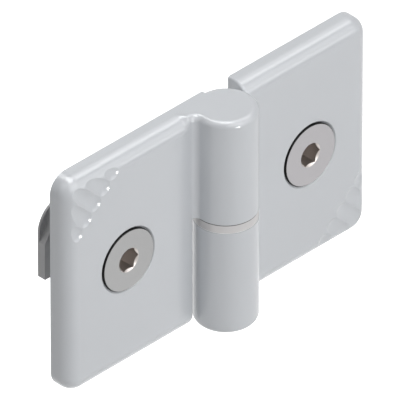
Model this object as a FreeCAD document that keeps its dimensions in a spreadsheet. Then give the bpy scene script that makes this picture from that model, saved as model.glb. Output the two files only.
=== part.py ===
import FreeCAD, Part
import Sketcher
import math
import os

# Lift off hinge of two die-cast leaves for slotted frames, in millimetres.
# The origin is the centre of the lower leaf's screw hole, in its mounting face.
# X runs along the leaves, away from the pin, Y points out of the mounting face, Z is up the pin.

doc = FreeCAD.newDocument("lift_off_hinge")
sheet = doc.addObject("Spreadsheet::Sheet", "Sizes")

SIZES = [
    ("leaf_reach", 36.5, "pin axis to a leaf's outer edge"),
    ("leaf_height", 44.2, "height of each leaf and of the whole barrel"),
    ("leaf_thickness", 4.25, "thickness of a leaf"),
    ("knuckle_radius", 5.75, "radius of the barrel, which is tangent to the mounting plane"),
    ("swing_gap", 0.5, "clearance between a knuckle and the other leaf's inner end"),
    ("corner_round", 3.6, "radius of a leaf's two outer corners"),
    ("edge_round", 2.7, "radius of a leaf's outer, top and bottom front edges"),
    ("inner_round", 0.5, "radius round a leaf's inner end"),
    ("bridge_overlap", 2.5, "how far the way into the knuckle starts inside the plate"),
    ("rim_round", 1.2, "radius of a knuckle's outer rim"),
    ("neck_round", 1.2, "radius of the hollow between a leaf's face and its knuckle"),
    ("washer_thickness", 1.7, "thickness of the washer between the knuckles"),
    ("washer_play", 0.05, "clearance above and below the washer"),
    ("washer_setback", 0.05, "how far the washer's rim lies inside the barrel"),
    ("washer_eye_play", 0.08, "radial clearance of the pin in the washer"),
    ("pin_radius", 3.0, "radius of the hinge pin"),
    ("pin_play", 0.05, "radial running clearance of the pin"),
    ("pin_seat", 17.0, "length of the pin that is pressed into the lower knuckle"),
    ("pin_reach", 16.0, "length of the pin inside the upper knuckle"),
    ("pin_lead", 2.0, "length of the pin's tapered top"),
    ("pin_tip_radius", 1.9, "radius of the pin's top end"),
    ("bore_depth", 18.0, "depth of each knuckle's blind bore"),
    ("screw_offset", 22.0, "pin axis to each screw's axis"),
    ("screw_radius", 3.0, "radius of a screw's shank"),
    ("screw_length", 16.0, "length of a screw with its countersunk head"),
    ("head_radius", 6.0, "radius of a screw's head"),
    ("head_edge", 0.5, "height of the straight edge of a screw's head"),
    ("head_proud", 0.15, "how far a screw's head stands out of the leaf"),
    ("key_width", 4.0, "hexagon socket across its flats"),
    ("key_depth", 2.4, "depth of the socket's flats"),
    ("key_rim_radius", 2.35, "radius of the chamfer round the socket's mouth"),
    ("sink_gap", 0.4, "countersink's rim beyond the head, all round"),
    ("shank_gap", 0.3, "radial clearance of a screw's shank in the leaf"),
    ("flute_count", 5, "flutes on each leaf's outer corner"),
    ("flute_pitch", 3.12, "spacing of the flutes, across them"),
    ("flute_reach", 10.7, "length of the middle flute from the leaf's sharp corner"),
    ("flute_radius", 3.0, "radius of the ball cutter that makes a flute"),
    ("flute_depth", 0.4, "depth of a flute"),
    ("flute_run_out", 20.0, "how far the cutter runs on past the leaf's sharp corner"),
    ("nut_standoff", 10.55, "mounting plane to the front of a slot nut's wings"),
    ("nut_half_width", 5.4, "slot nut's axis to its side"),
    ("nut_half_length", 9.0, "slot nut's axis to the end of a wing"),
    ("nut_wing", 1.75, "thickness of a slot nut's wings"),
    ("nut_plate", 0.45, "thickness of the full outline at a slot nut's back"),
    ("nut_step", 1.7, "how far below the axis the wing's side starts to step in"),
    ("nut_waist", 4.1, "slot nut's axis to its slanted side, level with the step's end"),
    ("nut_waist_rise", 0.5, "height of the step's end above the axis"),
    ("nut_shoulder", 2.0, "slot nut's axis to the point where its slanted side leaves the round"),
    ("nut_end", 1.2, "slot nut's axis to its slanted side, at the end of a wing"),
    ("nut_boss_radius", 4.05, "radius of the boss that enters the slot"),
    ("nut_boss_height", 3.8, "height of the boss above the wings"),
]

for row, (alias, value, meaning) in enumerate(SIZES, start=1):
    sheet.set(f"A{row}", meaning)
    sheet.set(f"B{row}", str(value))
    sheet.setAlias(f"B{row}", alias)
doc.recompute()

# Sizes that follow from the ones in the sheet.
HALF = "Sizes.leaf_height / 2"
BACK = "Sizes.knuckle_radius"
FRONT = "(Sizes.knuckle_radius - Sizes.leaf_thickness)"
INNER = "(Sizes.knuckle_radius + Sizes.swing_gap)"
JOINT = "(Sizes.washer_thickness / 2 + Sizes.washer_play)"
FLUTE_HALF_WIDTH = "sqrt(2 * Sizes.flute_radius * Sizes.flute_depth - Sizes.flute_depth ^ 2)"
NECK_SPAN = (
    "sqrt((Sizes.knuckle_radius + Sizes.neck_round) ^ 2"
    f" - ({FRONT} - Sizes.neck_round) ^ 2)"
)
DIAGONAL = 45
HEXAGON_SIDES = 6
SKETCH_ORIGIN = (-1, 1)
ROUND_TOLERANCE = 1e-4


def value(expression):
    """The present value of an expression on the sheet's cells."""
    found = sheet.evalExpression(expression)
    return float(getattr(found, "Value", found))


def new_body(label):
    body = doc.addObject("PartDesign::Body", label)
    body.Label = label
    return body


def new_sketch(body, name, plane, lift=None):
    """An empty sketch on one of the body's own planes, lifted off it where lift says so."""
    role = f"{plane}_Plane"
    support = [item for item in body.Origin.OriginFeatures if item.Role == role][0]
    sketch = body.newObject("Sketcher::SketchObject", name)
    sketch.AttachmentSupport = [(support, "")]
    sketch.MapMode = "FlatFace"
    if lift:
        sketch.setExpression("AttachmentOffset.Base.z", lift)
    return sketch


def pin_point(sketch, geometry, position, x, y, tag):
    """Ties one point of the sketch to two expressions, measured from the sketch's origin."""
    for kind, letter, expression in (("DistanceX", "x", x), ("DistanceY", "y", y)):
        size = value(expression)
        index = sketch.addConstraint(
            Sketcher.Constraint(kind, *SKETCH_ORIGIN, geometry, position, size)
        )
        sketch.renameConstraint(index, f"{letter}_{tag}")
        sketch.setExpression(f"Constraints.{letter}_{tag}", expression)


def draw(sketch, steps):
    """Closes a loop through the steps, each (name, x, y) or (name, x, y, radius, side).

    A step with a radius is reached by an arc. Side 1 puts the arc's centre to the left
    of the way there, and -1 to the right.
    """
    start = steps[-1]
    for index, step in enumerate(steps):
        a = FreeCAD.Vector(value(start[1]), value(start[2]), 0)
        b = FreeCAD.Vector(value(step[1]), value(step[2]), 0)
        if len(step) == 3:
            geometry = sketch.addGeometry(Part.LineSegment(a, b), False)
            first, last = 1, 2
        else:
            radius, side = value(step[3]), step[4]
            chord = b - a
            left = FreeCAD.Vector(-chord.y, chord.x, 0).normalize() * side
            rise = math.sqrt(max(radius**2 - (chord.Length / 2) ** 2, 0))
            centre = (a + b) / 2 + left * rise
            from_angle = math.atan2(a.y - centre.y, a.x - centre.x)
            to_angle = math.atan2(b.y - centre.y, b.x - centre.x)
            circle = Part.Circle(centre, FreeCAD.Vector(0, 0, 1), radius)
            ends = (from_angle, to_angle) if side > 0 else (to_angle, from_angle)
            geometry = sketch.addGeometry(Part.ArcOfCircle(circle, *ends), False)
            first, last = (1, 2) if side > 0 else (2, 1)
            bend = sketch.addConstraint(Sketcher.Constraint("Radius", geometry, radius))
            sketch.renameConstraint(bend, f"r_{step[0]}")
            sketch.setExpression(f"Constraints.r_{step[0]}", step[3])
        if index:
            sketch.addConstraint(
                Sketcher.Constraint("Coincident", previous, previous_end, geometry, first)
            )
        else:
            opening = (geometry, first)
        pin_point(sketch, geometry, last, step[1], step[2], step[0])
        previous, previous_end = geometry, last
        start = step
    sketch.addConstraint(Sketcher.Constraint("Coincident", previous, previous_end, *opening))
    doc.recompute()


def pad(body, name, sketch, length, backwards=False):
    """The sketch's outline made solid over the length, towards its front or backwards."""
    feature = body.newObject("PartDesign::Pad", name)
    feature.Profile = sketch
    feature.Reversed = backwards
    feature.setExpression("Length", length)
    doc.recompute()


def turn(body, kind, name, sketch, axis):
    """A full revolution or groove of the sketch about one of its own axes."""
    before = body.Shape.Volume if body.Shape.Solids else 0
    feature = body.newObject(f"PartDesign::{kind}", name)
    feature.Profile = sketch
    feature.ReferenceAxis = (sketch, [axis])
    feature.Angle = 360
    doc.recompute()
    grows = kind == "Revolution"
    if (body.Shape.Volume > before) != grows:
        raise RuntimeError(f"{body.Label}: {name} changes nothing")
    return feature


def cut(body, name, sketch, depth):
    """A pocket below the sketch, which has to take something off."""
    before = body.Shape.Volume
    feature = body.newObject("PartDesign::Pocket", name)
    feature.Profile = sketch
    feature.setExpression("Length", depth)
    doc.recompute()
    if body.Shape.Volume >= before:
        raise RuntimeError(f"{body.Label}: {name} cuts nothing")


def round_edges(body, name, radius, wanted):
    """A fillet on every edge of the body so far that the test picks."""
    base = body.Tip
    names = [f"Edge{n}" for n, edge in enumerate(base.Shape.Edges, start=1) if wanted(edge)]
    feature = body.newObject("PartDesign::Fillet", name)
    feature.Base = (base, names)
    feature.setExpression("Radius", radius)
    doc.recompute()


def lies_at(edge, axis, place):
    """Whether the whole edge keeps one coordinate, named by its letter."""
    box = edge.BoundBox
    low, high = getattr(box, f"{axis}Min"), getattr(box, f"{axis}Max")
    return abs(low - place) < ROUND_TOLERANCE and abs(high - place) < ROUND_TOLERANCE


def add_slab(body):
    """The flat plate of a leaf, with its large front radii and its rounded inner end."""
    sketch = new_sketch(body, "slab_outline", "XZ", f"-{BACK}")
    corners = [
        ("foot_outer", "-Sizes.leaf_reach", f"-{HALF}"),
        ("foot_inner", f"-{INNER}", f"-{HALF}"),
        ("head_inner", f"-{INNER}", HALF),
        ("head_outer", "-Sizes.leaf_reach", HALF),
    ]
    draw(sketch, corners)
    pad(body, "slab", sketch, "Sizes.leaf_thickness")
    outer, inner = -value("Sizes.leaf_reach"), -value(INNER)
    front, back, half = value(FRONT), value(BACK), value(HALF)
    round_edges(
        body,
        "outer_corners",
        "Sizes.corner_round",
        lambda e: lies_at(e, "X", outer) and (lies_at(e, "Z", half) or lies_at(e, "Z", -half)),
    )
    round_edges(
        body,
        "front_edges",
        "Sizes.edge_round",
        lambda e: lies_at(e, "Y", front) and not lies_at(e, "X", inner),
    )
    round_edges(
        body,
        "inner_end",
        "Sizes.inner_round",
        lambda e: lies_at(e, "X", inner) and not lies_at(e, "Y", back),
    )


def add_bridge(body):
    """The plate's way into its own knuckle, under the same front radius."""
    sketch = new_sketch(body, "bridge_section", "YZ")
    section = [
        ("joint_back", BACK, JOINT),
        ("head_back", BACK, HALF),
        ("head_front", f"{FRONT} + Sizes.edge_round", HALF),
        ("face_top", FRONT, f"{HALF} - Sizes.edge_round", "Sizes.edge_round", 1),
        ("joint_front", FRONT, JOINT),
    ]
    draw(sketch, section)
    pad(body, "bridge", sketch, f"{INNER} + Sizes.bridge_overlap", backwards=True)


def add_knuckle(body):
    """Half of the barrel and the hollow radius that joins it to the leaf's face, under one rim radius."""
    knuckle = new_body(f"{body.Label}_knuckle")
    sketch = new_sketch(knuckle, "knuckle_plan", "XY", JOINT)
    radius = "Sizes.knuckle_radius"
    share = f"{radius} / ({radius} + Sizes.neck_round)"
    hollow_y = f"({FRONT} - Sizes.neck_round) * {share}"
    plan = [
        ("face", f"-{NECK_SPAN}", FRONT),
        ("hollow", f"-{NECK_SPAN} * {share}", hollow_y, "Sizes.neck_round", -1),
        ("front", "0 mm", f"-{radius}", radius, 1),
        ("side", radius, "0 mm", radius, 1),
        ("tangent", "0 mm", radius, radius, 1),
        ("root", f"-{NECK_SPAN}", radius),
    ]
    draw(sketch, plan)
    pad(knuckle, "barrel_half", sketch, f"{HALF} - {JOINT}")
    top = value(HALF)
    round_edges(
        knuckle,
        "rim",
        "Sizes.rim_round",
        lambda e: lies_at(e, "Z", top) and hasattr(e.Curve, "Radius"),
    )
    join = body.newObject("PartDesign::Boolean", "knuckle_join")
    join.Type = "Fuse"
    join.setObjects([knuckle])
    doc.recompute()


def add_bore(body, radius):
    """The blind bore for the pin, from the joint."""
    sketch = new_sketch(body, "bore_section", "XZ")
    section = [
        ("axis_mouth", "0 mm", JOINT),
        ("mouth", radius, JOINT),
        ("end_wall", radius, f"{JOINT} + Sizes.bore_depth"),
        ("axis_end", "0 mm", f"{JOINT} + Sizes.bore_depth"),
    ]
    draw(sketch, section)
    turn(body, "Groove", "bore", sketch, "V_Axis")


def add_screw_hole(body):
    """The countersunk hole: the head seats on its cone, and its rim is wider than the head."""
    sketch = new_sketch(body, "screw_hole_section", "XY")
    sketch.setExpression("AttachmentOffset.Base.x", "-Sizes.screw_offset")
    rim = "(Sizes.head_radius + Sizes.sink_gap)"
    hole = "(Sizes.screw_radius + Sizes.shank_gap)"
    section = [
        ("axis_front", "0 mm", FRONT),
        ("axis_back", "0 mm", BACK),
        ("hole_back", hole, BACK),
        ("hole_seat", hole, f"{FRONT} + {rim} - {hole}"),
        ("rim", rim, FRONT),
    ]
    draw(sketch, section)
    turn(body, "Groove", "screw_hole", sketch, "V_Axis")


def add_flutes(body):
    """Shallow ball-ended flutes that run side by side into the leaf's outer corner."""
    sketch = new_sketch(body, "flute_section", "XZ")
    sketch.AttachmentOffset = FreeCAD.Placement(
        FreeCAD.Vector(), FreeCAD.Rotation(FreeCAD.Vector(0, 0, 1), -DIAGONAL)
    )
    aside = f"Sizes.flute_pitch * (Sizes.flute_count - 1) / 2 * cos({DIAGONAL} deg)"
    sketch.setExpression("AttachmentOffset.Base.x", f"-Sizes.leaf_reach - {aside}")
    sketch.setExpression("AttachmentOffset.Base.y", f"{HALF} - {aside}")
    sketch.setExpression(
        "AttachmentOffset.Base.z", f"Sizes.flute_radius - Sizes.flute_depth - {FRONT}"
    )
    ball = f"(Sizes.flute_reach - {FLUTE_HALF_WIDTH})"
    run_out = "-Sizes.flute_run_out"
    section = [
        ("axis_out", run_out, "0 mm"),
        ("ball_end", f"{ball} + Sizes.flute_radius", "0 mm"),
        ("ball_side", ball, "Sizes.flute_radius", "Sizes.flute_radius", 1),
        ("side_out", run_out, "Sizes.flute_radius"),
    ]
    draw(sketch, section)
    flute = turn(body, "Groove", "flute", sketch, "H_Axis")
    before = body.Shape.Volume
    row = body.newObject("PartDesign::LinearPattern", "flute_row")
    row.Originals = [flute]
    row.Direction = (sketch, ["V_Axis"])
    row.setExpression("Length", "Sizes.flute_pitch * (Sizes.flute_count - 1)")
    row.setExpression("Occurrences", "Sizes.flute_count")
    body.Tip = row
    doc.recompute()
    if body.Shape.Volume >= before:
        raise RuntimeError(f"{body.Label}: the row of flutes cuts nothing")


def make_leaf(label, bore_radius):
    """One casting, about the pin's axis at mid-height: the plate to -X, its knuckle on top."""
    body = new_body(label)
    add_slab(body)
    add_bridge(body)
    add_knuckle(body)
    add_bore(body, bore_radius)
    add_screw_hole(body)
    add_flutes(body)
    return body


def make_pin():
    """Turned pin about Z, from the end in the lower knuckle to the tapered top."""
    body = new_body("hinge_pin")
    sketch = new_sketch(body, "pin_section", "XZ")
    foot = f"-{JOINT} - Sizes.pin_seat"
    head = f"{JOINT} + Sizes.pin_reach"
    section = [
        ("axis_foot", "0 mm", foot),
        ("foot", "Sizes.pin_radius", foot),
        ("head_wall", "Sizes.pin_radius", f"{head} - Sizes.pin_lead"),
        ("head", "Sizes.pin_tip_radius", head),
        ("axis_head", "0 mm", head),
    ]
    draw(sketch, section)
    turn(body, "Revolution", "pin", sketch, "V_Axis")
    return body


def make_washer():
    """Flat ring on the pin, between the two knuckles."""
    body = new_body("thrust_washer")
    sketch = new_sketch(body, "washer_section", "XZ")
    rim = "Sizes.knuckle_radius - Sizes.washer_setback"
    eye = "Sizes.pin_radius + Sizes.washer_eye_play"
    top = "Sizes.washer_thickness / 2"
    section = [
        ("eye_foot", eye, f"-{top}"),
        ("rim_foot", rim, f"-{top}"),
        ("rim_top", rim, top),
        ("eye_top", eye, top),
    ]
    draw(sketch, section)
    turn(body, "Revolution", "washer", sketch, "V_Axis")
    return body


def hexagon(sketch, flats):
    """A hexagon about the sketch's origin, with two corners on the X axis."""
    corners = []
    for index in range(HEXAGON_SIDES):
        angle = index * 360 / HEXAGON_SIDES
        reach = f"{flats} / (2 * cos({180 / HEXAGON_SIDES} deg))"
        corners.append((f"corner{index}", f"{reach} * cos({angle} deg)", f"{reach} * sin({angle} deg)"))
    draw(sketch, corners)


def make_screw(label):
    """Countersunk screw about Z, its head's top at 0 and its shank downwards."""
    body = new_body(label)
    sketch = new_sketch(body, "screw_section", "XZ")
    cone_end = "Sizes.head_edge + Sizes.head_radius - Sizes.screw_radius"
    section = [
        ("axis_top", "0 mm", "0 mm"),
        ("tip_axis", "0 mm", "-Sizes.screw_length"),
        ("tip", "Sizes.screw_radius", "-Sizes.screw_length"),
        ("cone_end", "Sizes.screw_radius", f"-({cone_end})"),
        ("edge_foot", "Sizes.head_radius", "-Sizes.head_edge"),
        ("edge_top", "Sizes.head_radius", "0 mm"),
    ]
    draw(sketch, section)
    turn(body, "Revolution", "screw", sketch, "V_Axis")

    flats = new_sketch(body, "socket_outline", "XY")
    hexagon(flats, "Sizes.key_width")
    cut(body, "socket", flats, "Sizes.key_depth")

    mouth = new_sketch(body, "socket_mouth_section", "XZ")
    section = [
        ("axis_top", "0 mm", "0 mm"),
        ("axis_foot", "0 mm", "Sizes.key_width / 2 - Sizes.key_rim_radius"),
        ("flats_end", "Sizes.key_width / 2", "Sizes.key_width / 2 - Sizes.key_rim_radius"),
        ("rim", "Sizes.key_rim_radius", "0 mm"),
    ]
    draw(mouth, section)
    turn(body, "Groove", "socket_mouth", mouth, "V_Axis")
    return body


def point_mirrored(points):
    """The points, followed by the same points turned half a turn about the axis."""
    turned = [(f"{name}_far", f"-({x})", f"-({y})", *bend) for name, x, y, *bend in points]
    return points + turned


def make_nut(label):
    """Slot nut about Z, its boss upwards: two wings, each narrowed by a slanted side."""
    body = new_body(label)
    side, end = "Sizes.nut_half_width", "Sizes.nut_half_length"

    plate = new_sketch(body, "plate_plan", "XY")
    outline = [
        ("tip", f"-{side}", f"-{end}"),
        ("round_foot", f"-{side}", "0 mm"),
        ("shoulder", "-Sizes.nut_shoulder", f"sqrt({side} ^ 2 - Sizes.nut_shoulder ^ 2)", side, -1),
        ("wing_end", "-Sizes.nut_end", end),
    ]
    draw(plate, point_mirrored(outline))
    pad(body, "plate", plate, "Sizes.nut_plate")

    wings = new_sketch(body, "wing_plan", "XY", "Sizes.nut_plate")
    outline = [
        ("tip", f"-{side}", f"-{end}"),
        ("step", f"-{side}", "-Sizes.nut_step"),
        ("waist", "-Sizes.nut_waist", "Sizes.nut_waist_rise"),
        ("wing_end", "-Sizes.nut_end", end),
    ]
    draw(wings, point_mirrored(outline))
    pad(body, "wings", wings, "Sizes.nut_wing - Sizes.nut_plate")

    boss = new_sketch(body, "boss_section", "XZ")
    top = "Sizes.nut_wing + Sizes.nut_boss_height"
    section = [
        ("axis_foot", "0 mm", "Sizes.nut_plate"),
        ("foot", "Sizes.nut_boss_radius", "Sizes.nut_plate"),
        ("top", "Sizes.nut_boss_radius", top),
        ("axis_top", "0 mm", top),
    ]
    draw(boss, section)
    turn(body, "Revolution", "boss", boss, "V_Axis")

    thread = new_sketch(body, "thread_section", "XZ")
    section = [
        ("axis_foot", "0 mm", "0 mm"),
        ("foot", "Sizes.screw_radius", "0 mm"),
        ("top", "Sizes.screw_radius", top),
        ("axis_top", "0 mm", top),
    ]
    draw(thread, section)
    turn(body, "Groove", "thread", thread, "V_Axis")
    return body


def place(body, x, y, z, axis=(0, 0, 1), angle=0):
    """Puts a finished body in the frame of the part. x, y and z are expressions."""
    body.Placement = FreeCAD.Placement(
        FreeCAD.Vector(), FreeCAD.Rotation(FreeCAD.Vector(*axis), angle)
    )
    body.setExpression("Placement.Base.x", x)
    body.setExpression("Placement.Base.y", y)
    body.setExpression("Placement.Base.z", z)


RUNNING_BORE = "(Sizes.pin_radius + Sizes.pin_play)"
PRESS_BORE = "Sizes.pin_radius"
PIN_X = "-Sizes.screw_offset"
PIN_Y = f"-{BACK}"
SCREW_TOP = "-Sizes.leaf_thickness - Sizes.head_proud"
NUT_BACK = "Sizes.nut_standoff + Sizes.nut_wing"
FACING_FRONT = {"axis": (1, 0, 0), "angle": 90}
HALF_TURN = {"axis": (0, 1, 0), "angle": 180}

upper_leaf = make_leaf("upper_leaf", RUNNING_BORE)
place(upper_leaf, PIN_X, PIN_Y, "0 mm")
lower_leaf = make_leaf("lower_leaf", PRESS_BORE)
place(lower_leaf, PIN_X, PIN_Y, "0 mm", **HALF_TURN)
hinge_pin = make_pin()
place(hinge_pin, PIN_X, PIN_Y, "0 mm")
thrust_washer = make_washer()
place(thrust_washer, PIN_X, PIN_Y, "0 mm")

fasteners = []
for leaf, screw_x in (("lower_leaf", "0 mm"), ("upper_leaf", "-2 * Sizes.screw_offset")):
    screw = make_screw(f"{leaf}_screw")
    place(screw, screw_x, SCREW_TOP, "0 mm", **FACING_FRONT)
    nut = make_nut(f"{leaf}_slot_nut")
    place(nut, screw_x, NUT_BACK, "0 mm", **FACING_FRONT)
    fasteners += [screw, nut]

doc.recompute()

nodes = [upper_leaf, lower_leaf, hinge_pin, thrust_washer, *fasteners]
for item in doc.Objects:
    if "Invalid" in item.State or "Error" in item.State:
        raise RuntimeError(f"{item.Label} failed: {item.State}")
for node in nodes:
    if node.Shape.isNull() or not node.Shape.isValid() or len(node.Shape.Solids) != 1:
        raise RuntimeError(f"{node.Label} is not one valid solid")

os.makedirs("parts", exist_ok=True)
for node in nodes:
    node.Shape.exportStep(f"parts/{node.Label}.step")
    box = node.Shape.BoundBox
    print(
        f"{node.Label}: {node.Shape.Volume:.2f} mm3, X {box.XMin:.2f} to {box.XMax:.2f},"
        f" Y {box.YMin:.2f} to {box.YMax:.2f}, Z {box.ZMin:.2f} to {box.ZMax:.2f}"
    )
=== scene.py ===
import math

import bmesh
import bpy
from mathutils import Matrix, Vector


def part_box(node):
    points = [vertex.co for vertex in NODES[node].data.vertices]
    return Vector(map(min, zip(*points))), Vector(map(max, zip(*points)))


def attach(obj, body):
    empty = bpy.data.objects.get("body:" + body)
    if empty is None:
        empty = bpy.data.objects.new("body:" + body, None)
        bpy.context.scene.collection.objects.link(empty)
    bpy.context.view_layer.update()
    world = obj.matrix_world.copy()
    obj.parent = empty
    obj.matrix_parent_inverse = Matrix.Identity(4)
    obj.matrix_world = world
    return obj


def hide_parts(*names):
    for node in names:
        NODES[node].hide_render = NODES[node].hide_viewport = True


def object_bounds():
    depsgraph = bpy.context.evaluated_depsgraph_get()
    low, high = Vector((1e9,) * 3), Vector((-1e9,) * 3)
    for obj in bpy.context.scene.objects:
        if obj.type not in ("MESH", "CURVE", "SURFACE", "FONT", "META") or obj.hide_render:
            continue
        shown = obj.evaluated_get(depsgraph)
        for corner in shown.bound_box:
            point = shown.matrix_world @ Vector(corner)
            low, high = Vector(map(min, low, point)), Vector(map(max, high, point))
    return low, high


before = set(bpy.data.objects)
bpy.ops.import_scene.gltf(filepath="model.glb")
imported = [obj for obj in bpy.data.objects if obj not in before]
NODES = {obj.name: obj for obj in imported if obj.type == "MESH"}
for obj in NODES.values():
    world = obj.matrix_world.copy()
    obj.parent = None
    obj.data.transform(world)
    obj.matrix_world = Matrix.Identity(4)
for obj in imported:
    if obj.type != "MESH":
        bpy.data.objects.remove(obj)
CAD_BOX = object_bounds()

# Lift off hinge, in the frame's own axes: X along the leaves, Y behind them, Z up the pin. Sizes are
# in millimetres where nothing else is said, and MM turns them into Blender's metres.
MM = 0.001
ALONG_Y, ALONG_Z = 1, 2

UPPER, LOWER = "upper_leaf", "lower_leaf"
BODIES = {UPPER: "lifting_leaf", LOWER: "fixed_leaf"}
SCREW_X = {UPPER: -44.0, LOWER: 0.0}
PIN_AT = (-22.0, -5.75, 0.0)

# In a new mesh: what counts as the same place, how far a point may lie off its height or radius,
# and from what angle an edge is sharp.
SAME_PLACE = 0.001
SLACK = 0.01
SHARP_EDGE = math.radians(25)

# Countersunk screw. Depths are counted from the head's top towards the tip, the key's sizes are
# those of the hexagon socket, from its axis to a flat and to its chamfered rim, and the thread's
# crest and root each take a share of its pitch.
HEAD_TOP = -4.4
HEAD_RADIUS = 6.0
HEAD_EDGE = 0.5
HEAD_BEVEL = 0.12
SCREW_LENGTH = 16.0
THREAD_RADIUS = 3.0
THREAD_PITCH = 1.0
THREAD_DEPTH = 0.58
THREAD_START = 4.2
THREAD_RUN_IN = 1.2
CREST_SHARE, ROOT_SHARE = 0.14, 0.2
TIP_CHAMFER = 0.65
KEY_FLAT = 2.0
KEY_RIM = 2.35
KEY_DEPTH = 3.6
KEY_POINT = 0.5
SCREW_SIDES = 60
RINGS_PER_PITCH = 10

# Which of the screw's three materials a face takes. The first is its ground face. The flank's is
# painted shade for the gap round the head. The socket's is its dull finish, painted lighter as light
# in the hollow.
FLANK_SHADE_SLOT, SOCKET_FINISH_AND_LIGHT = 1, 2

# Width of the washer's painted shade line and painted highlight line, and the share of its radius
# that they leave free, so that they stay off its top face.
WASHER_LINE = 0.16
WASHER_RIM = 0.99

# Blend from the upper leaf's broad edge round to the tighter round of the knuckle's neck. The lower
# leaf has the same one, turned half a turn about the Y axis through the pin.
BLEND_FROM, BLEND_TO = -30.3, -28.94
EDGE_ROUND, RIM_ROUND = 2.7, 1.2
LEAF_FRONT, LEAF_TOP = -4.25, 22.1
BLEND_STEPS = 12
ROUND_STEPS = 12

# The photograph shows 68.5 mm of the hinge across its 400 pixels, and looks down one corner
# of the axes.
PICTURE_WIDTH = 68.5 * MM
PICTURE_CENTRE = Vector((-23.02, -0.54, 0.14)) * MM
LOOKING_FROM = Vector((-1, -1, 1)).normalized()
LENS = 1600
SENSOR = 36
NEAREST_SEEN = 0.01

# Studio, in metres.
LAMP_DISTANCE = 0.6
SOFT_BOX_SIZE = 0.5
ROOM_LIGHT = 0.04
FLOOR_DEPTH = 0.2
FLOOR_SIZE = 3.0
FLOOR_GLOW = 0.75


def linear(*srgb):
    """A colour as written in sRGB, 0 to 255, as Blender's linear values."""
    parts = [c / 255 for c in srgb]
    return [c / 12.92 if c <= 0.04045 else ((c + 0.055) / 1.055) ** 2.4 for c in parts] + [1.0]


PAINT = linear(198, 201, 205)
# The two screws' faces are lit and shaded copies of one steel: the upper leaf's is painted darker
# than the lower leaf's.
SCREW_STEEL_LIT_AND_SHADED = {UPPER: linear(150, 150, 150), LOWER: linear(159, 157, 159)}
# Inside the socket: the dull steel's own tint, painted lighter as light in the hollow.
SOCKET_STEEL_AND_PAINTED_LIGHT = linear(186, 180, 176)
# Near black on the head's flank: painted shade of the gap round the head.
FLANK_PAINTED_SHADE = linear(38, 38, 38)
WASHER_STEEL = linear(193, 191, 191)
# A painted shade line on the washer's top edge, and a painted highlight on its lower edge.
WASHER_PAINTED_SHADE = linear(70, 68, 66)
WASHER_PAINTED_HIGHLIGHT = linear(225, 225, 225)
PIN_STEEL = linear(192, 192, 192)
NUT_STEEL = linear(150, 150, 151)
FLOOR_WHITE = linear(236, 236, 236)

# Noise of the finishes: the range that most of it lies in, and lathe lines to the metre.
NOISE_LOW, NOISE_HIGH = 0.3, 0.7
LATHE_LINES = 5000
SOFT_EDGE = 0.08


# Finishes


def new_material(name):
    """A material with its shader and the piece's own coordinates."""
    material = bpy.data.materials.new(name)
    material.use_nodes = True
    nodes, links = material.node_tree.nodes, material.node_tree.links
    place = nodes.new("ShaderNodeTexCoord")
    return material, nodes, links, nodes["Principled BSDF"], place.outputs["Object"]


def reckon(nodes, links, operation, first, second):
    """Two values joined by a sum or a comparison. The second one may be a plain number."""
    step = nodes.new("ShaderNodeMath")
    step.operation = operation
    links.new(first, step.inputs[0])
    if isinstance(second, bpy.types.NodeSocket):
        links.new(second, step.inputs[1])
    else:
        step.inputs[1].default_value = second
    return step.outputs[0]


def noise(nodes, links, place, scale, detail=4.0):
    """Even, cloudy noise over the piece's own coordinates."""
    pattern = nodes.new("ShaderNodeTexNoise")
    pattern.inputs["Scale"].default_value = scale
    pattern.inputs["Detail"].default_value = detail
    links.new(place, pattern.inputs["Vector"])
    return pattern.outputs["Fac"]


def distance_from(nodes, links, place, centre, axis):
    """Distance in metres from the line that runs along the axis through the centre."""
    across = [1.0, 1.0, 1.0]
    across[axis] = 0.0
    mapping = nodes.new("ShaderNodeMapping")
    mapping.inputs["Location"].default_value = [-c * MM * keep for c, keep in zip(centre, across)]
    mapping.inputs["Scale"].default_value = across
    links.new(place, mapping.inputs["Vector"])
    reach = nodes.new("ShaderNodeVectorMath")
    reach.operation = "LENGTH"
    links.new(mapping.outputs["Vector"], reach.inputs[0])
    return reach.outputs["Value"]


def lathe_lines(nodes, links, distance):
    """Noise that depends only on the distance from an axis, like the lines that a lathe leaves."""
    pattern = nodes.new("ShaderNodeTexNoise")
    pattern.noise_dimensions = "1D"
    pattern.inputs["Scale"].default_value = LATHE_LINES
    pattern.inputs["Detail"].default_value = 3.0
    links.new(distance, pattern.inputs["W"])
    return pattern.outputs["Fac"]


def span(nodes, links, value, low, high):
    """The noise spread over the range from low to high."""
    ramp = nodes.new("ShaderNodeMapRange")
    ramp.inputs["From Min"].default_value = NOISE_LOW
    ramp.inputs["From Max"].default_value = NOISE_HIGH
    ramp.inputs["To Min"].default_value = low
    ramp.inputs["To Max"].default_value = high
    links.new(value, ramp.inputs["Value"])
    return ramp.outputs["Result"]


def shade(colour, factor):
    """The colour made darker or lighter by the factor."""
    return [c * factor for c in colour[:3]] + [1.0]


def uneven(nodes, links, value, colour, spread):
    """The colour, darker and lighter by the given share as the value goes from 0 to 1."""
    mix = nodes.new("ShaderNodeMix")
    mix.data_type = "RGBA"
    mix.inputs["A"].default_value = shade(colour, 1 - spread)
    mix.inputs["B"].default_value = shade(colour, 1 + spread)
    links.new(value, mix.inputs["Factor"])
    return mix.outputs["Result"]


def cover(nodes, links, under, colour, share):
    """The colour laid over what is under it, by the share."""
    mix = nodes.new("ShaderNodeMix")
    mix.data_type = "RGBA"
    mix.inputs["B"].default_value = colour
    links.new(share, mix.inputs["Factor"])
    links.new(under, mix.inputs["A"])
    return mix.outputs["Result"]


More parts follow.
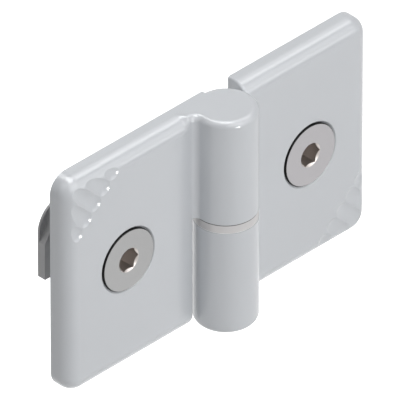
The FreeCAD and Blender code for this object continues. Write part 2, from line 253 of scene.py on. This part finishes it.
def bump(nodes, links, shader, height, depth, strength, soft_edge=SOFT_EDGE):
    """Relief of the given depth, over edges that catch the light as if they were rounded."""
    edge = nodes.new("ShaderNodeBevel")
    edge.samples = 6
    edge.inputs["Radius"].default_value = soft_edge * MM
    relief = nodes.new("ShaderNodeBump")
    relief.inputs["Strength"].default_value = strength
    relief.inputs["Distance"].default_value = depth * MM
    links.new(edge.outputs["Normal"], relief.inputs["Normal"])
    links.new(height, relief.inputs["Height"])
    links.new(relief.outputs["Normal"], shader.inputs["Normal"])


def silver_paint():
    """Silver-grey coat: smooth and glossy, a little uneven in tone and gloss."""
    material, nodes, links, shader, place = new_material("silver_coat")
    clouds = noise(nodes, links, place, scale=60)
    links.new(uneven(nodes, links, clouds, PAINT, spread=0.015), shader.inputs["Base Color"])
    shader.inputs["Metallic"].default_value = 0.0
    shader.inputs["IOR"].default_value = 1.6
    links.new(span(nodes, links, clouds, low=0.2, high=0.24), shader.inputs["Roughness"])
    grain = noise(nodes, links, place, scale=2200, detail=2)
    bump(nodes, links, shader, grain, depth=0.002, strength=0.2)
    return material


def turned_steel(name, colour, roughness, centre, axis):
    """Steel with fine machining lines round its axis."""
    material, nodes, links, shader, place = new_material(name)
    lines = lathe_lines(nodes, links, distance_from(nodes, links, place, centre, axis))
    links.new(uneven(nodes, links, lines, colour, spread=0.015), shader.inputs["Base Color"])
    shader.inputs["Metallic"].default_value = 1.0
    gloss = span(nodes, links, lines, low=roughness - 0.02, high=roughness + 0.02)
    links.new(gloss, shader.inputs["Roughness"])
    bump(nodes, links, shader, lines, depth=0.001, strength=0.15)
    return material


def dull_steel(name, colour, roughness, metal=1.0):
    """Cloudy, faintly pitted steel of the slot nuts, of the screws' flanks, whose dark colour is
    painted shade, and of their sockets, whose colour is painted lighter as light in the hollow.
    """
    material, nodes, links, shader, place = new_material(name)
    clouds = noise(nodes, links, place, scale=500)
    links.new(uneven(nodes, links, clouds, colour, spread=0.07), shader.inputs["Base Color"])
    shader.inputs["Metallic"].default_value = metal
    gloss = span(nodes, links, clouds, low=roughness - 0.06, high=roughness + 0.06)
    links.new(gloss, shader.inputs["Roughness"])
    pits = noise(nodes, links, place, scale=3000, detail=3)
    bump(nodes, links, shader, pits, depth=0.004, strength=0.3, soft_edge=0.15)
    return material


def washer_steel():
    """Steel of the washer, with a line of painted shade under the knuckle and a painted highlight
    along its lower edge.
    """
    material, nodes, links, shader, place = new_material("washer_steel")
    distance = distance_from(nodes, links, place, PIN_AT, ALONG_Z)
    lines = lathe_lines(nodes, links, distance)
    colour = uneven(nodes, links, lines, WASHER_STEEL, spread=0.03)
    axes = nodes.new("ShaderNodeSeparateXYZ")
    links.new(place, axes.inputs["Vector"])
    lowest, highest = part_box("thrust_washer")
    rim = (highest.y - lowest.y) / 2 * WASHER_RIM
    on_rim = reckon(nodes, links, "GREATER_THAN", distance, rim)
    # The top edge takes painted shade, where the knuckle above shades it, and the lower edge takes a
    # painted highlight.
    for edge, inwards, line in ((highest, -1, WASHER_PAINTED_SHADE), (lowest, 1, WASHER_PAINTED_HIGHLIGHT)):
        ramp = nodes.new("ShaderNodeMapRange")
        ramp.inputs["From Min"].default_value = edge[ALONG_Z] + inwards * WASHER_LINE * MM
        ramp.inputs["From Max"].default_value = edge[ALONG_Z] + inwards * WASHER_LINE * MM / 2
        links.new(axes.outputs["Z"], ramp.inputs["Value"])
        share = reckon(nodes, links, "MULTIPLY", ramp.outputs["Result"], on_rim)
        colour = cover(nodes, links, colour, line, share)
    links.new(colour, shader.inputs["Base Color"])
    shader.inputs["Metallic"].default_value = 0.3
    links.new(span(nodes, links, lines, low=0.3, high=0.38), shader.inputs["Roughness"])
    bump(nodes, links, shader, lines, depth=0.002, strength=0.3)
    return material


# Pieces


def dress(node, material):
    """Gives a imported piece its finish."""
    mesh = NODES[node].data
    mesh.materials.clear()
    mesh.materials.append(material)


def add_object(work, name):
    """Turns a finished mesh into an object of the scene."""
    mesh = bpy.data.meshes.new(f"{name}_mesh")
    work.to_mesh(mesh)
    work.free()
    new_object = bpy.data.objects.new(name, mesh)
    bpy.context.scene.collection.objects.link(new_object)
    return new_object


def add_piece(work, name, body, materials):
    """Turns a mesh that is drawn in millimetres into a piece that rides on the body."""
    bmesh.ops.scale(work, verts=work.verts, vec=(MM, MM, MM))
    bmesh.ops.recalc_face_normals(work, faces=work.faces)
    for face in work.faces:
        face.smooth = True
    for edge in work.edges:
        edge.smooth = edge.calc_face_angle(0) < SHARP_EDGE
    piece = add_object(work, name)
    for material in materials:
        piece.data.materials.append(material)
    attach(piece, body)
    return piece


# Screws


def thread_height(turn_share):
    """Height of the thread, 0 at its root to 1 at its crest, over one pitch."""
    flank = (1 - CREST_SHARE - ROOT_SHARE) / 2
    from_root = abs(turn_share % 1.0 - 0.5) - ROOT_SHARE / 2
    return min(max(from_root / flank, 0.0), 1.0)


def thread_radius(y, angle):
    """Radius of the screw's threaded part, with its run-in below the head and its chamfered tip."""
    height = thread_height(y / THREAD_PITCH - angle / (2 * math.pi))
    run_in = min((y - THREAD_START) / THREAD_RUN_IN, 1.0)
    radius = THREAD_RADIUS - THREAD_DEPTH * (1 - height) * run_in
    return min(radius, THREAD_RADIUS - TIP_CHAMFER + SCREW_LENGTH - y)


def hexagon_radius(angle):
    """Distance from the socket's axis to its flats, in the given direction."""
    off_flat = angle % (math.pi / 3) - math.pi / 6
    return KEY_FLAT / math.cos(off_flat)


def screw_profile():
    """The turned outline from the socket's point, over the head and down to the tip."""
    socket = [(0, KEY_DEPTH + KEY_POINT), (KEY_FLAT, KEY_DEPTH), (KEY_FLAT, KEY_RIM - KEY_FLAT)]
    head = [
        (KEY_RIM, 0),
        (HEAD_RADIUS - HEAD_BEVEL, 0),
        (HEAD_RADIUS, HEAD_BEVEL),
        (HEAD_RADIUS, HEAD_EDGE),
        (THREAD_RADIUS, HEAD_EDGE + HEAD_RADIUS - THREAD_RADIUS),
    ]
    thread_length = SCREW_LENGTH - THREAD_START
    count = round(thread_length * RINGS_PER_PITCH / THREAD_PITCH)
    thread = [(THREAD_RADIUS, THREAD_START + thread_length * n / count) for n in range(count + 1)]
    return socket + head + thread + [(0, SCREW_LENGTH)]


def turn_profile(work):
    """The screw's outline, turned once round its axis."""
    line = [work.verts.new((radius, y, 0)) for radius, y in screw_profile()]
    for pair in zip(line, line[1:]):
        work.edges.new(pair)
    bmesh.ops.spin(
        work,
        geom=work.verts[:] + work.edges[:],
        cent=(0, 0, 0),
        axis=(0, 1, 0),
        angle=2 * math.pi,
        steps=SCREW_SIDES,
        use_merge=True,
    )


def cut_socket_and_thread(work):
    """Draws the round socket out to a hexagon, and the shank in to a thread."""
    for vert in work.verts:
        across, y = math.hypot(vert.co.x, vert.co.z), vert.co.y
        if across < KEY_FLAT / 2:
            continue
        angle = math.atan2(vert.co.z, vert.co.x)
        if across < KEY_FLAT + SLACK:
            reach = hexagon_radius(angle)
            if y < KEY_DEPTH - SLACK:
                vert.co.y = KEY_RIM - reach
        elif y > THREAD_START - SLACK:
            reach = thread_radius(y, angle)
        else:
            continue
        vert.co.x *= reach / across
        vert.co.z *= reach / across


def choose_finishes(work):
    """Marks the faces of the head's flank, which take painted shade, and of the socket, which take
    painted light, and leaves the others ground.
    """
    for face in work.faces:
        middle = face.calc_center_median()
        across = math.hypot(middle.x, middle.z)
        if across > THREAD_RADIUS + SLACK and middle.y > SLACK:
            face.material_index = FLANK_SHADE_SLOT
        elif across < KEY_RIM and SLACK < middle.y < SCREW_LENGTH - SLACK:
            face.material_index = SOCKET_FINISH_AND_LIGHT


def add_screw(leaf, face_steel, flank_shade, socket_steel_and_light):
    """Countersunk screw with a hexagon socket and a cut thread, on the leaf's screw axis.

    Its face is ground bright. The flank of the head is painted dark as shade in the gap round the
    head. The socket is dull inside and is painted lighter as light in its hollow.
    """
    work = bmesh.new()
    turn_profile(work)
    cut_socket_and_thread(work)
    bmesh.ops.remove_doubles(work, verts=work.verts, dist=SAME_PLACE)
    choose_finishes(work)
    bmesh.ops.translate(work, verts=work.verts, vec=(SCREW_X[leaf], HEAD_TOP, 0))
    finishes = (face_steel, flank_shade, socket_steel_and_light)
    screw = add_piece(work, f"{leaf}_screw_body", BODIES[leaf], finishes)
    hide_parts(f"{leaf}_screw")


# Necks


def edge_outline(work, x, radius):
    """Closed outline of the leaf's top front edge at x, rounded with the radius, as edges."""
    back, foot = LEAF_FRONT + EDGE_ROUND, LEAF_TOP - EDGE_ROUND
    points = [(back, foot), (back, LEAF_TOP)]
    for step in range(ROUND_STEPS + 1):
        turn = math.pi / 2 * (1 + step / ROUND_STEPS)
        y = LEAF_FRONT + radius * (1 + math.cos(turn))
        z = LEAF_TOP - radius * (1 - math.sin(turn))
        points.append((y, z))
    points.append((LEAF_FRONT, foot))
    verts = [work.verts.new((x, y, z)) for y, z in points]
    return [work.edges.new(pair) for pair in zip(verts, verts[1:] + verts[:1])]


def add_neck_blend(leaf, paint):
    """Smooth blend where the leaf's edge round meets the neck of its knuckle."""
    work = bmesh.new()
    outlines = []
    for step in range(BLEND_STEPS + 1):
        share = step / BLEND_STEPS
        eased = share * share * (3 - 2 * share)
        x = BLEND_FROM + (BLEND_TO - BLEND_FROM) * share
        outlines.append(edge_outline(work, x, EDGE_ROUND + (RIM_ROUND - EDGE_ROUND) * eased))
    for near, far in zip(outlines, outlines[1:]):
        bmesh.ops.bridge_loops(work, edges=near + far)
    bmesh.ops.holes_fill(work, edges=[edge for edge in work.edges if edge.is_boundary], sides=0)
    bmesh.ops.remove_doubles(work, verts=work.verts, dist=SAME_PLACE)
    if leaf == LOWER:
        half_turn = Matrix.Rotation(math.pi, 3, "Y")
        bmesh.ops.rotate(work, verts=work.verts, cent=PIN_AT, matrix=half_turn)
    add_piece(work, f"{leaf}_neck_blend", BODIES[leaf], [paint])


# Studio


def add_camera():
    """The photograph's view, from far enough away to be almost without perspective."""
    data = bpy.data.cameras.new("camera")
    data.type = "PERSP"
    data.lens = LENS
    data.sensor_width = SENSOR
    distance = PICTURE_WIDTH * LENS / SENSOR
    camera = bpy.data.objects.new("camera", data)
    camera.location = PICTURE_CENTRE + LOOKING_FROM * distance
    camera.rotation_euler = (-LOOKING_FROM).to_track_quat("-Z", "Y").to_euler()
    data.clip_start = NEAREST_SEEN
    data.clip_end = distance * 2
    bpy.context.scene.collection.objects.link(camera)
    bpy.context.scene.camera = camera


def add_lamp(name, direction, size, strength):
    """A square lamp, size across, that faces the hinge from the given direction."""
    data = bpy.data.lights.new(name, "AREA")
    data.shape = "SQUARE"
    data.size = size
    data.energy = strength
    lamp = bpy.data.objects.new(name, data)
    lamp.location = PICTURE_CENTRE + Vector(direction).normalized() * LAMP_DISTANCE
    lamp.rotation_euler = (-Vector(direction)).to_track_quat("-Z", "Y").to_euler()
    lamp.visible_camera = False
    bpy.context.scene.collection.objects.link(lamp)
    return lamp


def add_gleam(name, direction, size, strength, pieces=()):
    """A lamp that only shows as a highlight, and only on the pieces where any are named."""
    lamp = add_lamp(name, direction, size, strength)
    lamp.visible_diffuse = False
    if pieces:
        reached = bpy.data.collections.new(f"{name}_pieces")
        for piece in pieces:
            reached.objects.link(NODES[piece])
        lamp.light_linking.receiver_collection = reached


def light_hinge():
    """Soft boxes that light the hinge, and gleams for the highlights on its rounds and flutes.

    Each gleam stands where the round that it is named for mirrors it towards the camera.
    """
    add_lamp("front_light", (-0.2, -1, 0.8), SOFT_BOX_SIZE, 1.95)
    add_lamp("right_light", (0.5, -1, 0.4), SOFT_BOX_SIZE, 1.1)
    add_lamp("top_light", (0.1, 0, 1), SOFT_BOX_SIZE, 1.0)
    add_lamp("left_light", (-1, 0.1, 1), SOFT_BOX_SIZE, 0.82)
    add_lamp("back_light", (0.25, 1, 0.35), SOFT_BOX_SIZE, 1.7)
    add_gleam("edge_gleam", (0.577, -0.16, 0.80), 0.2, 0.48)
    add_gleam("edge_gleam_upper", (0.577, 0.2, 0.77), 0.15, 0.14)
    add_gleam("edge_gleam_lower", (0.577, -0.8, 0.02), 0.15, 0.12)
    add_gleam("rim_gleam_right", (0.35, -0.02, 0.94), 0.22, 0.3)
    add_gleam("rim_gleam_front", (-0.1, -0.1, 0.99), 0.26, 1.5)
    add_gleam("rim_gleam_left", (-0.05, 0.3, 0.95), 0.22, 0.8)
    add_gleam("end_gleam", (-0.07, 0.577, 0.81), 0.22, 0.6)
    add_gleam("flute_gleam", (-0.085, -0.976, -0.18), 0.12, 1.5, (UPPER, LOWER))


def seen_directly(nodes, links):
    """1 for the camera's own rays and for those that mirror or pass on, and 0 for stray light."""
    path = nodes.new("ShaderNodeLightPath")
    value = path.outputs["Is Camera Ray"]
    for ray in ("Is Glossy Ray", "Is Transmission Ray"):
        value = reckon(nodes, links, "MAXIMUM", value, path.outputs[ray])
    return value


def add_world():
    """Even light all round, which the camera and mirror-like surfaces see as white."""
    world = bpy.data.worlds.new("studio")
    bpy.context.scene.world = world
    world.use_nodes = True
    nodes, links = world.node_tree.nodes, world.node_tree.links
    background = nodes["Background"]
    background.inputs["Color"].default_value = (1, 1, 1, 1)
    strength = nodes.new("ShaderNodeMapRange")
    strength.inputs["To Min"].default_value = ROOM_LIGHT
    strength.inputs["To Max"].default_value = 1.0
    links.new(seen_directly(nodes, links), strength.inputs["Value"])
    links.new(strength.outputs["Result"], background.inputs["Strength"])


def pale_floor():
    """Finish of the floor. Its upper side shows white, and its lower side is clear."""
    material, nodes, links, shader, place = new_material("pale_floor")
    shader.inputs["Base Color"].default_value = FLOOR_WHITE
    shader.inputs["Roughness"].default_value = 0.9
    glow = reckon(nodes, links, "MULTIPLY", seen_directly(nodes, links), FLOOR_GLOW)
    shader.inputs["Emission Color"].default_value = (1, 1, 1, 1)
    links.new(glow, shader.inputs["Emission Strength"])
    side = nodes.new("ShaderNodeNewGeometry")
    clear = nodes.new("ShaderNodeBsdfTransparent")
    either_side = nodes.new("ShaderNodeMixShader")
    links.new(side.outputs["Backfacing"], either_side.inputs[0])
    links.new(shader.outputs["BSDF"], either_side.inputs[1])
    links.new(clear.outputs["BSDF"], either_side.inputs[2])
    links.new(either_side.outputs["Shader"], nodes["Material Output"].inputs["Surface"])
    return material


def add_floor():
    """A floor well below the hinge, which keeps its shadow and hides nothing from below."""
    work = bmesh.new()
    bmesh.ops.create_grid(work, x_segments=1, y_segments=1, size=FLOOR_SIZE / 2)
    bmesh.ops.translate(work, verts=work.verts, vec=(0, 0, CAD_BOX[0].z - FLOOR_DEPTH))
    floor = add_object(work, "floor")
    floor.data.materials.append(pale_floor())


def dress_hinge():
    """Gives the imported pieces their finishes, and adds the neck blends and the screws."""
    paint = silver_paint()
    # Painted shade on the screws' flanks, and painted light in their sockets.
    flank = dull_steel("screw_flank_steel", FLANK_PAINTED_SHADE, roughness=0.5)
    socket = dull_steel("screw_socket_steel", SOCKET_STEEL_AND_PAINTED_LIGHT, roughness=0.35)
    for leaf in (UPPER, LOWER):
        axis_at = (SCREW_X[leaf], 0, 0)
        # Each leaf's screw takes its own lit or shaded copy of the steel, as painted light and
        # shade.
        face = turned_steel(f"{leaf}_screw_steel", SCREW_STEEL_LIT_AND_SHADED[leaf], 0.3, axis_at, ALONG_Y)
        dress(leaf, paint)
        add_neck_blend(leaf, paint)
        add_screw(leaf, face, flank, socket)
        nut = dull_steel(f"{leaf}_nut_steel", NUT_STEEL, roughness=0.4, metal=0.2)
        dress(f"{leaf}_slot_nut", nut)
    dress("thrust_washer", washer_steel())
    dress("hinge_pin", turned_steel("pin_steel", PIN_STEEL, 0.2, PIN_AT, ALONG_Z))


add_camera()
add_world()
light_hinge()
add_floor()
dress_hinge()
bpy.context.scene.view_settings.view_transform = "Standard"
